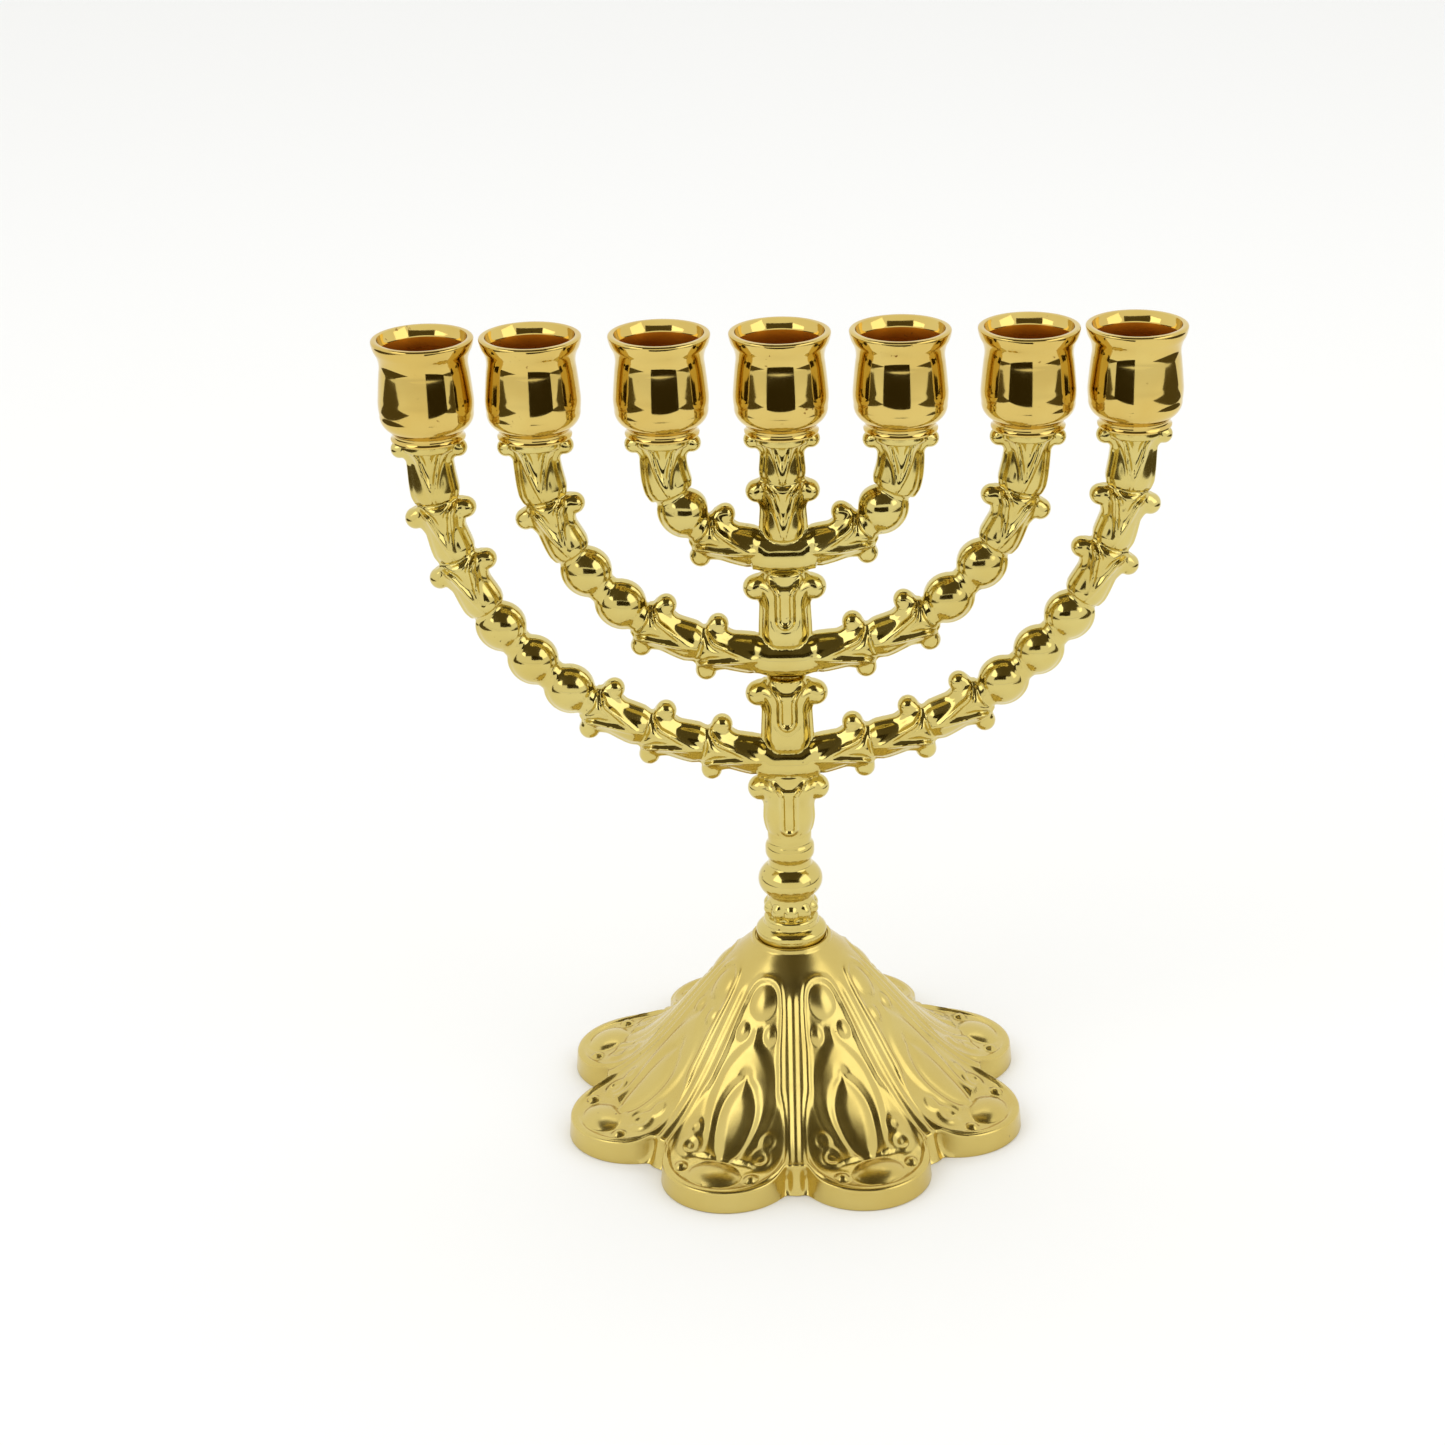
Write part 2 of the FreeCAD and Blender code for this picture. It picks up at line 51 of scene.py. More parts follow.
def node_box(node):
    """A CAD node's lowest and highest corners, in millimetres."""
    low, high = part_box(node)
    return np.array(low) / MM, np.array(high) / MM


def cup_centre(node):
    low, high = node_box(node)
    return (low[0] + high[0]) / 2


TIP_RISE = node_box("cup_4")[0][2]
SEAT_RISE = node_box("branch_frame")[0][2]
BASE_TOP = node_box("base")[1][2]


# Shaping helpers -------------------------------------------------------------------------------

def ramp(value, start, end):
    """0 before start, 1 after end, smooth between."""
    share = np.clip((value - start) / (end - start), 0.0, 1.0)
    return share * share * (3.0 - 2.0 * share)


def bump(value, width):
    """1 where value is 0, falling smoothly to nothing over about twice the width."""
    return np.exp(-(value / width) ** 2)


def join(first, second, soft):
    """Union of two distance fields with a fillet."""
    share = np.clip(0.5 + 0.5 * (second - first) / soft, 0.0, 1.0)
    return second + (first - second) * share - soft * share * (1.0 - share)


def meet(first, second, soft):
    """Intersection of two distance fields with a rounded edge."""
    return -join(-first, -second, soft)


def oval(across, up, half_across, half_up):
    """Distance to an ellipse, or to an ellipsoid where across is already a radius."""
    level = np.sqrt((across / half_across) ** 2 + (up / half_up) ** 2)
    steep = np.sqrt((across / half_across ** 2) ** 2 + (up / half_up ** 2) ** 2) + 1e-6
    return level * (level - 1.0) / steep


def slab(across, up, half_across, half_up, corner):
    """Distance to a rectangle with rounded corners."""
    over_across = np.abs(across) - half_across + corner
    over_up = np.abs(up) - half_up + corner
    outside = np.hypot(np.maximum(over_across, 0.0), np.maximum(over_up, 0.0))
    return outside + np.minimum(np.maximum(over_across, over_up), 0.0) - corner


def rod(points, start, end, start_radius, end_radius):
    """Distance to a round-ended rod whose radius changes along it."""
    start = np.array(start)
    along = np.array(end) - start
    offset = [point - origin for point, origin in zip(points, start)]
    share = sum(part * step for part, step in zip(offset, along)) / (along @ along)
    share = np.clip(share, 0.0, 1.0)
    gap = np.sqrt(sum((part - share * step) ** 2 for part, step in zip(offset, along)))
    return gap - start_radius - (end_radius - start_radius) * share


def curve(value, knots):
    """Smooth curve through (place, height) knots, flat in slope at neither end."""
    places, heights = (np.array(column, float) for column in zip(*knots))
    slopes = np.gradient(heights, places)
    value = np.clip(value, places[0], places[-1])
    index = np.clip(np.searchsorted(places, value) - 1, 0, len(places) - 2)
    step = places[index + 1] - places[index]
    share = (value - places[index]) / step
    rise = heights[index] * (1 + 2 * share) * (1 - share) ** 2
    rise += heights[index + 1] * share ** 2 * (3 - 2 * share)
    rise += step * share * (1 - share) * (slopes[index] * (1 - share) - slopes[index + 1] * share)
    return rise


# Branch frame ----------------------------------------------------------------------------------

FIELD_MARGIN = 1.3
NET_PITCH = 0.3
NET_PASSES = 2
JOIN_SOFT = 0.3
BAND_HALF_DEPTH = 1.3
CAPITAL_REACH = 8.2
BEAD_REACH = 5.2
LEAF_TIP_REACH = 5.0
CUP_SCREW_RADIUS = 1.5
CUP_SCREW_DEPTH = 5.5
CLAMP_SCREW_RADIUS = 2.5
CLAMP_SCREW_DEPTH = 16.0
FAR_AWAY = 4.0


class Capital:
    """A tube that opens into two side leaves, rolled into scrolls, with a bud or tongue between."""

    def __init__(self, length, spread=5.1, half=3.75, depth=4.05, apex=3.4, tongue=0.0,
                 open_rate=0.24, curl=2.25, below=2.9, neck=3.6, proud=0.3, blend=0.9, dip=0.9,
                 egg=False, rooted=False):
        self.length = length
        self.scroll_along = length - below
        self.open_rate = open_rate
        self.neck = neck
        self.spread = spread
        self.half = half
        self.depth = depth
        self.apex = apex
        self.tongue = tongue
        self.curl = curl
        self.proud = proud
        self.blend = blend
        self.dip = dip
        self.egg = egg
        self.rooted = rooted

    def field(self, along, across, front, bend=1.0):
        side = np.abs(across)
        scroll = self.scroll_along
        swell = ramp(along, -0.5, 1.7) * 0.45 - 0.22 * ramp(along, 2.0, scroll - 3.0)
        flare = ramp(along, scroll - self.neck, scroll + 0.4)
        close = ramp(along, scroll + 0.7, self.length + 0.2)
        half = self.half - 0.3 + swell + 0.95 * flare - 1.2 * close
        depth = self.depth - 0.35 + swell + 0.45 * flare - 0.9 * close
        if self.egg:
            fullness = ramp(along, -1.8, 4.8)
            half = half - 1.2 * (1 - fullness)
            depth = depth - 1.2 * (1 - fullness)
        leaves = oval(across, front, half, depth) - self.relief(along, across) * ramp(front, 1.3, 2.2)
        band = slab(across, front, half + self.proud, BAND_HALF_DEPTH, 0.45)
        leaves = join(leaves, band, self.blend)
        mouth = self.length + 0.3 - self.dip * (1 - ramp(side, 0.6, 3.6))
        root = -3.0 if self.rooted else -0.35
        leaves = meet(leaves, np.maximum(along - mouth, root - along), 0.7)
        core = oval(across, front, self.half - 0.7, self.depth - 0.75)
        core = meet(core, np.abs(along - self.length / 2) - self.length / 2 - 0.8, 0.3)
        curls = self.scroll((along - scroll) * bend, side, front)
        return join(join(leaves, core, 0.25), curls, 0.45)

    def relief(self, along, across):
        """Height of the ridge and groove that outline the bud or the tongue."""
        if self.tongue:
            centre = self.apex + self.tongue
            width = self.tongue + 1.9 * ramp(along, self.length - 4.2, self.length - 0.2) ** 2
            edge = np.hypot(across, np.minimum(along - centre, 0.0)) - width
            line = 0.5 * bump(edge, 0.42) - 0.2 * bump(edge - 0.9, 0.4) - 0.3 * ramp(-edge, 0.2, 0.8)
        else:
            nose = 0.5
            reach = along - self.apex + nose / self.open_rate
            spill = 1.3 * ramp(along, self.length - 3.6, self.length - 0.4) ** 2
            edge = np.hypot(across, nose) - self.open_rate * reach - spill
            edge = edge / math.hypot(1.0, self.open_rate)
            line = 0.6 * bump(edge - 0.25, 0.5) - 0.35 * bump(edge + 0.6, 0.45)
            line += 0.2 * ramp(-edge, 0.9, 1.7)
        return line * (1 - ramp(along, self.length - 1.3, self.length - 0.4))

    def scroll(self, along, side, front):
        """The rolled leaf tip on each side; along is measured from its middle."""
        reach = np.hypot(along, side - self.spread)
        ball = oval(reach, front, self.curl - 0.1, self.curl + 0.15)
        points = (along, side, front)
        leaf = rod(points, (-self.neck, self.half - 1.5, 0.8), (0.1, self.spread - 1.4, 0.6), 1.3, 1.8)
        over = rod(points, (0.5, self.half - 2.1, self.depth - 1.9),
                   (0.9, self.spread - 0.7, 0.9), 1.0, self.curl - 0.95)
        return join(ball, join(leaf, over, 0.5), 0.4)


class Bead:
    """A domed bead with its parting rim."""

    length = 9.4

    def field(self, along, across, front, _bend=1.0):
        offset = along - self.length / 2
        reach = np.hypot(offset, across)
        dome = oval(np.hypot(offset * 0.95, across), front, 4.7, 4.6)
        rim = slab(reach, front, 4.95, BAND_HALF_DEPTH, 0.5)
        neck = np.hypot(across, front) - 3.2
        neck = meet(neck, np.abs(offset) - self.length / 2 - 0.3, 0.5)
        return join(join(dome, rim, 0.9), neck, 0.5)


class Branch:
    """One branch's centreline: a straight run out of the stem, an arc, and a straight tip."""

    start_along = 5.4

    def __init__(self, reach, cross, arc, arc_rise, order):
        self.reach = reach
        self.cross = cross
        self.arc = arc
        self.arc_rise = arc_rise
        self.centre = reach - arc
        drop = cross - arc_rise
        gap = math.hypot(self.centre, drop)
        self.touch = math.atan2(drop, -self.centre) + math.acos(arc / gap)
        self.run = math.sqrt(gap ** 2 - arc ** 2)
        self.bend_end = self.run - self.touch * arc
        self.length = self.bend_end + TIP_RISE - arc_rise
        nominal = sum(element.length for element in order)
        self.stretch = (self.length - self.start_along) / nominal
        self.order = order

    def unroll(self, across, rise):
        """Distance along the centreline and to its outer side, for points in the branch's plane."""
        heading = self.touch + math.pi / 2
        lift = rise - self.cross
        along_run = across * math.cos(heading) + lift * math.sin(heading)
        beside_run = across * math.sin(heading) - lift * math.cos(heading)
        angle = np.arctan2(rise - self.arc_rise, across - self.centre)
        along_arc = self.run + (angle - self.touch) * self.arc
        beside_arc = np.hypot(rise - self.arc_rise, across - self.centre) - self.arc
        on_run = along_run < self.run
        on_tip = (rise > self.arc_rise) & (across > self.centre)
        along = np.where(on_run, along_run, along_arc)
        beside = np.where(on_run, beside_run, beside_arc)
        along = np.where(on_tip, self.bend_end + rise - self.arc_rise, along)
        beside = np.where(on_tip, across - self.reach, beside)
        return along, beside

    def place(self, along):
        """The point of the centreline at a distance along it."""
        if along < self.run:
            heading = self.touch + math.pi / 2
            return along * math.cos(heading), self.cross + along * math.sin(heading)
        if along < self.bend_end:
            angle = self.touch + (along - self.run) / self.arc
            return self.centre + self.arc * math.cos(angle), self.arc_rise + self.arc * math.sin(angle)
        return self.reach, self.arc_rise + along - self.bend_end

    def parts(self):
        """Each element with the box that it fills."""
        start = self.start_along
        for element in self.order:
            end = start + element.length * self.stretch
            spots = [self.place(along) for along in np.linspace(start - 0.5, end + 0.5, 7)]
            wide = CAPITAL_REACH if isinstance(element, Capital) else BEAD_REACH
            wide = wide + FIELD_MARGIN
            low = np.min(spots, axis=0) - wide
            high = np.max(spots, axis=0) + wide
            yield low, high, self.element_field(element, start)
            start = end

    def element_field(self, element, start):
        end = start + element.length * self.stretch
        curved = self.run < end - 2.0 < self.bend_end

        def bend(beside):
            """How much longer the leaf tips' side of the arc is than its centreline."""
            if not curved:
                return self.stretch
            return (1 + np.sign(beside) * LEAF_TIP_REACH / self.arc) * self.stretch

        def field(across, front, rise):
            along, beside = self.unroll(across, rise)
            return element.field((along - start) / self.stretch, beside, front, bend(beside))
        return field


def upright(element, low):
    """An element that stands on the stem's axis."""
    def field(across, front, rise):
        return element.field(rise - low, across, front)
    high = low + element.length
    span = np.array([9.0, high + 1.0])
    return np.array([-1.0, low - 1.5]), span, field


def crossing(rise_middle):
    """The short barrel where a pair of branches passes through the stem."""
    def field(across, front, rise):
        lift = rise - rise_middle
        barrel = np.hypot(lift, front * 0.96) - 4.35 + 0.042 * across ** 2
        barrel = meet(barrel, np.abs(across) - 5.1, 1.5)
        neck = oval(lift, front, 3.3, 3.6)
        neck = meet(neck, np.abs(across) - 6.4, 0.3)
        return join(barrel, neck, 1.3)
    return np.array([-1.0, rise_middle - 6.0]), np.array([8.0, rise_middle + 6.0]), field


def baluster(across, front, rise):
    """The turned foot of the stem, from the seat up to the first capital."""
    reach = np.hypot(across, front)
    angle = np.arctan2(across, front)
    drum = slab(reach, rise - 58.85, 5.1, 2.5, 2.1)
    neck = slab(reach, rise - 57.0, 4.5, 6.0, 0.5)
    ball = oval(reach, rise - 51.9, 6.7, 4.6)
    lobes = 0.8 * np.abs(np.cos(5.0 * angle))
    grip = oval(reach - lobes, rise - 45.6, 5.1, 2.9)
    waist = slab(reach, rise - 45.0, 4.8, 4.0, 0.5)
    cushion = oval(reach, rise - 40.35, 7.35, 2.35)
    collar = slab(reach, rise - 42.5, 5.7, 1.2, 0.7)
    plinth = slab(reach, rise - 38.4, 7.3, 2.2, 0.3)
    turned = join(drum, neck, 0.3)
    for ring in (ball, grip, waist, collar, cushion, plinth):
        turned = join(turned, ring, 0.3)
    return turned


def tip_pad(reach_middle):
    """The flat round top that a cup stands on."""
    def field(across, front, rise):
        reach = np.hypot(across - reach_middle, front)
        return slab(reach, rise - TIP_RISE + 0.4, 5.5, 1.5, 0.5)
    low = np.array([reach_middle - 7.0, TIP_RISE - 4.0])
    return low, np.array([reach_middle + 7.0, TIP_RISE + 2.5]), field


def frame_parts():
    """Every element of the casting's front right quarter, with its box in x and z."""
    reaches = [cup_centre(node) for node in CUPS[4:]]
    tip = Capital(12.2, half=4.35, spread=5.75, curl=1.9, below=1.9, neck=2.2, apex=3.0)
    root = Capital(12.2, rooted=True)
    plain = Capital(12.2)
    inner = Branch(reaches[0], 124.2, 18.6, 144.4, [root, Bead(), tip])
    middle = Branch(reaches[1], 101.8, 45.5, 148.2,
                    [root, plain, Bead(), Bead(), plain, tip])
    outer = Branch(reaches[2], 78.7, 67.0, 148.2,
                   [root, plain, plain, Bead(), Bead(), Bead(), plain, plain, tip])
    parts = []
    for branch in (inner, middle, outer):
        parts += list(branch.parts())
        parts.append(crossing(branch.cross))
        parts.append(tip_pad(branch.reach))
    parts.append(tip_pad(0.0))
    stem = dict(spread=5.8, half=4.7, depth=4.7, tongue=1.4, curl=2.7, proud=0.55, blend=0.25,
                dip=2.0)
    foot = dict(stem, half=5.1, depth=5.2, proud=0.2)
    parts.append(upright(Capital(13.4, apex=1.9, egg=True, **foot), 62.3))
    parts.append(upright(Capital(14.2, apex=5.0, **stem), 82.6))
    parts.append(upright(Capital(14.2, apex=4.2, **stem), 105.6))
    bud = dict(half=4.1, depth=4.3)
    parts.append(upright(Capital(12.2, apex=3.2, curl=2.4, proud=0.6, blend=0.3, **bud), 128.0))
    crown = Capital(10.2, spread=5.75, apex=3.0, curl=1.9, below=1.9, neck=2.2, **bud)
    parts.append(upright(crown, 139.7))
    parts.append((np.array([-1.0, SEAT_RISE - 4.0]), np.array([10.0, 64.0]), baluster))
    return parts


def bored(solid, across, front, rise):
    """Cut the screw holes, and trim the casting flat where it meets the base and the cups."""
    solid = np.maximum(solid, rise - TIP_RISE)
    solid = np.maximum(solid, SEAT_RISE - rise)
    for node in CUPS[3:]:
        reach = np.hypot(across - cup_centre(node), front)
        hole = np.maximum(reach - CUP_SCREW_RADIUS, TIP_RISE - CUP_SCREW_DEPTH - rise)
        solid = np.maximum(solid, -hole)
    reach = np.hypot(across, front)
    hole = np.maximum(reach - CLAMP_SCREW_RADIUS, rise - SEAT_RISE - CLAMP_SCREW_DEPTH)
    return np.maximum(solid, -hole)


def frame_field(points, parts):
    """Signed distance to the casting. It is the same in all four quarters."""
    across = np.abs(points[:, 0])
    front = np.abs(points[:, 1])
    rise = points[:, 2]
    solid = np.full(len(points), FAR_AWAY)
    for low, high, field in parts:
        near = (across > low[0]) & (across < high[0]) & (rise > low[1]) & (rise < high[1])
        index = np.flatnonzero(near)
        if len(index):
            piece = field(across[index], front[index], rise[index])
            solid[index] = join(solid[index], piece, JOIN_SOFT)
    return solid


def trimmed_field(points, parts):
    """The casting's distance field with its holes and flat ends."""
    across = np.abs(points[:, 0])
    front = np.abs(points[:, 1])
    return bored(frame_field(points, parts), across, front, points[:, 2])


def sample_quarter(parts, low, high, pitch):
    """Distances on a lattice over one quarter, mirrored to the whole."""
    axes = [np.arange(pitch / 2, end + pitch, pitch) for end in high[:2]]
    axes.append(np.arange(low[2], high[2] + pitch, pitch))
    grid = np.stack(np.meshgrid(*axes, indexing="ij"), axis=-1)
    values = trimmed_field(grid.reshape(-1, 3), parts).reshape(grid.shape[:3])
    values = np.concatenate([values[::-1], values], axis=0)
    values = np.concatenate([values[:, ::-1], values], axis=1)
    origin = np.array([-axes[0][-1], -axes[1][-1], axes[2][0]])
    return values, origin


def surface_net(values, origin, pitch):
    """Vertices and quads of the zero surface of a lattice of distances."""
    shape = np.array(values.shape)
    inside = values < 0
    cells = shape - 1
    total = int(np.prod(cells))
    sums = np.zeros((total, 3))
    counts = np.zeros(total)
    quads = []
    for axis in range(3):
        near = np.take(inside, range(0, shape[axis] - 1), axis)
        far = np.take(inside, range(1, shape[axis]), axis)
        edges = np.argwhere(near != far)
        others = [other for other in range(3) if other != axis]
        keep = np.all(edges[:, others] > 0, axis=1) & np.all(edges[:, others] < cells[others], axis=1)
        edges = edges[keep]
        step = np.eye(3, dtype=int)[axis]
        start = values[tuple(edges.T)]
        end = values[tuple((edges + step).T)]
        spot = edges + step * (start / (start - end))[:, None]
        first, second = np.eye(3, dtype=int)[others]
        corners = []
        for shift in (first * 0, first, first + second, second):
            cell = edges - shift
            number = np.ravel_multi_index(tuple(cell.T), tuple(cells))
            corners.append(number)
            for part in range(3):
                sums[:, part] += np.bincount(number, spot[:, part], total)
            counts += np.bincount(number, minlength=total)
        ring = np.stack(corners, axis=1)
        outward = (start < 0) == (axis != 1)
        ring[~outward] = ring[~outward][:, ::-1]
        quads.append(ring)
    quads = np.concatenate(quads)
    used = np.flatnonzero(counts)
    number = np.full(total, -1)
    number[used] = np.arange(len(used))
    vertices = sums[used] / counts[used, None] * pitch + origin
    return vertices, number[quads]


def gradient(points, parts):
    """Outward direction of the casting's field."""
    step = 0.02
    slope = np.zeros_like(points)
    for axis in range(3):
        nudge = np.eye(3)[axis] * step
        slope[:, axis] = trimmed_field(points + nudge, parts) - trimmed_field(points - nudge, parts)
    slope /= 2 * step
    return slope


def casting_mesh():
    """The casting's surface, with its points moved onto the exact field."""
    parts = frame_parts()
    low, high = node_box("branch_frame")
    low = low - NET_PITCH * 1.5
    pitch = NET_PITCH * 1.0
    values, origin = sample_quarter(parts, low, high + pitch, pitch)
    vertices, quads = surface_net(values, origin, pitch)
    for _ in range(NET_PASSES):
        slope = gradient(vertices, parts)
        size = np.maximum(np.sum(slope ** 2, axis=1), 0.3)
        move = slope * (trimmed_field(vertices, parts) / size)[:, None]
        reach = np.linalg.norm(move, axis=1)
        move *= np.minimum(1.0, 0.4 * pitch / np.maximum(reach, 1e-9))[:, None]
        vertices = vertices - move
    return vertices, quads


# Base ------------------------------------------------------------------------------------------

PETALS = 8
PETAL_RING = 36.6
PETAL_ROUND = 13.8
HALF_PETAL = math.pi / PETALS
WALL = 1.6
HOLE_REACH = 2.56
SEAT_REACH = 7.6
LIP_REACH = 8.4
DOME_TOP = SEAT_RISE - 0.2
DOME = [(8.4, DOME_TOP), (11.0, 35.9), (14.0, 32.8), (18.0, 28.0), (22.0, 23.0), (26.0, 18.0),
        (30.0, 13.5), (34.0, 9.8), (37.0, 7.6), (40.6, 5.9), (44.0, 5.2), (51.0, 4.6)]
# Half-widths of the raised outlines on a petal, by distance from the base's axis.
BORDER = [(12.7, 0.0), (13.3, 2.3), (14.9, 3.9), (17.5, 4.9), (21.0, 5.8), (25.3, 7.4),
          (31.9, 9.6), (35.0, 10.9)]
WISHBONE = [(19.7, 0.5), (21.0, 0.9), (22.4, 2.9), (24.2, 4.9), (27.0, 6.3), (29.5, 6.7),
            (32.0, 6.4), (35.0, 5.5), (37.5, 5.2), (39.4, 6.2)]
FLAME = [(26.2, 0.0), (27.6, 1.5), (29.5, 2.9), (31.5, 3.4), (33.5, 3.3), (36.0, 2.8), (38.2, 1.9),
         (39.8, 0.6)]
RIM_ROUND = 12.75


def petal_outline(angle):
    """Reach of the skirt at the floor, by angle from a petal's middle."""
    side = PETAL_RING * np.sin(np.abs(angle))
    room = np.maximum(PETAL_ROUND ** 2 - side ** 2, 0.0)
    petal = PETAL_RING * np.cos(angle) + np.sqrt(room)
    web = 41.2 + 0.4 * ramp(np.abs(angle), HALF_PETAL - 0.06, HALF_PETAL)
    blend = 0.6
    return np.logaddexp(petal / blend, web / blend) * blend


def dome_button(along, across, centre, side, half_along, half_across, height):
    """A raised rounded boss."""
    level = ((along - centre) / half_along) ** 2 + ((across - side) / half_across) ** 2
    return height * np.clip(1.0 - level, 0.0, 1.0) ** 0.9


def moat(along, across, centre, side, half_along, half_across, depth):
    """The shallow groove round a boss."""
    level = np.sqrt(((along - centre) / half_along) ** 2 + ((across - side) / half_across) ** 2)
    gap = (level - 1.0) * min(half_along, half_across)
    return -depth * bump(gap - 0.15, 0.45)


def border_distance(along, across):
    """Signed distance, inside negative, to the arch-topped outline that frames a petal."""
    side = np.abs(across)
    half = curve(along, BORDER)
    slope = (curve(along + 0.2, BORDER) - curve(along - 0.2, BORDER)) / 0.4
    arch = (side - half) / np.hypot(1.0, slope)
    cap = np.hypot(np.minimum(along - 16.8, 0.0), side * 0.98) - 4.25
    arch = np.where(along < 16.0, cap, arch)
    disc = np.hypot(along - PETAL_RING, side) - RIM_ROUND
    sides = np.where(along < 24.0, arch, join(arch, disc, 0.6))
    return np.where(along > PETAL_RING, disc, sides)


def region(along, across, knots):
    """Signed distance, inside negative, to a shape given by its half-widths."""
    half = curve(along, knots)
    slope = (curve(along + 0.8, knots) - curve(along - 0.8, knots)) / 1.6
    sides = (np.abs(across) - half) / np.hypot(1.0, slope)
    past = np.maximum(knots[0][0] - along, along - knots[-1][0])
    return np.where(past > 0, np.hypot(past, np.maximum(np.abs(across) - half, 0.0)), sides)


def curl(along, side, centre_along, centre_side, size):
    """A rolled scroll: a raised ring with a small eye."""
    reach = np.hypot(along - centre_along, side - centre_side)
    return 0.5 * bump(reach - size, 0.65) + 0.3 * bump(reach, 0.6)


def petal_relief(along, across):
    """Height of the cast ornament over the plain dome, for one petal."""
    side = np.abs(across)
    border = border_distance(along, across)
    inside = ramp(-border, 0.1, 1.2)
    height = 0.62 * bump(border, 0.75) - 0.25 * inside
    height -= 0.15 * bump(border - 1.3, 0.5)
    for centre, place, half_along, half_across, lift in (
            (15.9, 0.0, 2.5, 2.9, 1.1), (20.0, 3.1, 1.3, 1.4, 0.75),
            (43.9, 0.0, 3.9, 5.5, 1.35), (43.0, 7.7, 1.5, 1.4, 0.8)):
        height += dome_button(along, side, centre, place, half_along, half_across, lift)
        height += moat(along, side, centre, place, half_along, half_across, 0.1)
    wishbone = region(along, across, WISHBONE)
    flame = region(along, across, FLAME)
    legs = meet(wishbone, 0.75 - flame, 0.8)
    height += 0.62 * ramp(-legs, -0.5, 1.4) - 0.12 * bump(legs - 0.7, 0.5)
    height += 0.6 * ramp(-flame, -0.6, 2.2) - 0.15 * bump(flame - 0.6, 0.5)
    height += curl(along, side, 37.7, 7.7, 1.7) + curl(along, side, 34.2, 8.0, 1.0)
    return height * ramp(along, 11.5, 13.0)


def notch_relief(reach, sweep):
    """Height of the ribs between two petals; sweep is the distance from their shared line."""
    rib = 0.42 * bump(sweep, 0.75) - 0.25 * bump(sweep - 1.4, 0.7)
    return rib * ramp(reach, 13.5, 16.0) * (1 - ramp(reach, 38.0, 40.8))


def base_face(angle, reach):
    """Height of the ornamented top at an angle from a petal's middle."""
    along = reach * np.cos(angle)
    across = reach * np.sin(angle)
    sweep = reach * np.abs(np.sin(HALF_PETAL - np.abs(angle)))
    share = ramp(sweep, 1.2, 2.6)
    relief = petal_relief(along, across) * share + notch_relief(reach, sweep) * (1 - share * 0.8)
    slope = (curve(reach + 0.2, DOME) - curve(reach - 0.2, DOME)) / 0.4
    lift = relief / np.hypot(1.0, slope)
    outline = petal_outline(angle) - 1.3
    edge = ramp(outline - reach, -0.1, 1.1)
    return curve(reach, DOME) + lift / np.hypot(1.0, slope) * edge, -lift * slope * 0.5 * edge


def base_rows(angle):
    """Rows of (reach, rise) round the whole closed section, at one set of column angles."""
    flat = np.zeros_like(angle)
    outline = petal_outline(angle)
    off_notch = HALF_PETAL - np.abs(angle)
    sweep = outline * np.sin(off_notch)
    notch = 1 - ramp(sweep, 1.0, 6.0)
    rows = [(flat + HOLE_REACH, flat + SEAT_RISE), (flat + 5.0, flat + SEAT_RISE),
            (flat + SEAT_REACH, flat + SEAT_RISE), (flat + SEAT_REACH, flat + BASE_TOP - 0.1),
            (flat + SEAT_REACH + 0.1, flat + BASE_TOP), (flat + LIP_REACH - 0.3, flat + BASE_TOP),
            (flat + LIP_REACH - 0.05, flat + BASE_TOP - 0.2)]
    top_edge = outline - 1.1 - 1.2 * notch
    steps = 118
    for share in np.linspace(0.0, 1.0, steps):
        reach = LIP_REACH + (top_edge - LIP_REACH) * share
        rise, shift = base_face(angle, reach)
        rows.append((reach + shift, rise))
    edge_rise = rows[-1][1]
    for turn in np.radians([25, 50, 75, 90]):
        rows.append((top_edge + 0.75 * math.sin(turn), edge_rise - 0.75 * (1 - math.cos(turn))))
    lip_rise = edge_rise - 0.75
    for share in np.linspace(0.08, 1.0, 11):
        fall = lip_rise * (1 - share) + 0.25 * share
        lean = top_edge + 0.75 + (outline - top_edge - 0.75) * share
        pocket = bump(sweep - 2.5, 1.2) * math.sin(math.pi * share) ** 0.6
        rows.append((lean - 1.15 * pocket, fall))
    rows.append((outline - 0.25, flat))
    rows.append((outline - WALL + 0.2, flat))
    for share in (0.1, 0.5, 0.9, 1.0):
        rows.append((outline - WALL - 1.4 * notch * share, (edge_rise - WALL) * share))
    inner_edge = rows[-1][0]
    for share in np.linspace(0.04, 1.0, 32):
        reach = inner_edge + (7.0 - inner_edge) * share
        slope = (curve(reach + 0.2, DOME) - curve(reach - 0.2, DOME)) / 0.4
        drop = WALL * np.minimum(np.hypot(1.0, slope), 1.6)
        plain = np.minimum(curve(reach, DOME), curve(flat + LIP_REACH, DOME))
        rows.append((reach, plain - drop))
    rows.append((flat + 7.0, flat + SEAT_RISE - 5.0))
    rows.append((flat + HOLE_REACH, flat + SEAT_RISE - 5.0))
    return rows


def base_mesh():
    """A closed grid: columns round the axis, rows round the section."""
    per_half = 40
    share = np.arange(-per_half, per_half) / per_half
    local = np.tile(HALF_PETAL * share, PETALS)
    middles = np.repeat((np.arange(PETALS) + 0.5) * 2 * HALF_PETAL - math.pi / 2, 2 * per_half)
    rows = base_rows(local)
    turn = local + middles
    grid = [np.stack([reach * np.cos(turn), reach * np.sin(turn), rise], axis=1)
            for reach, rise in rows]
    return closed_grid(np.stack(grid))


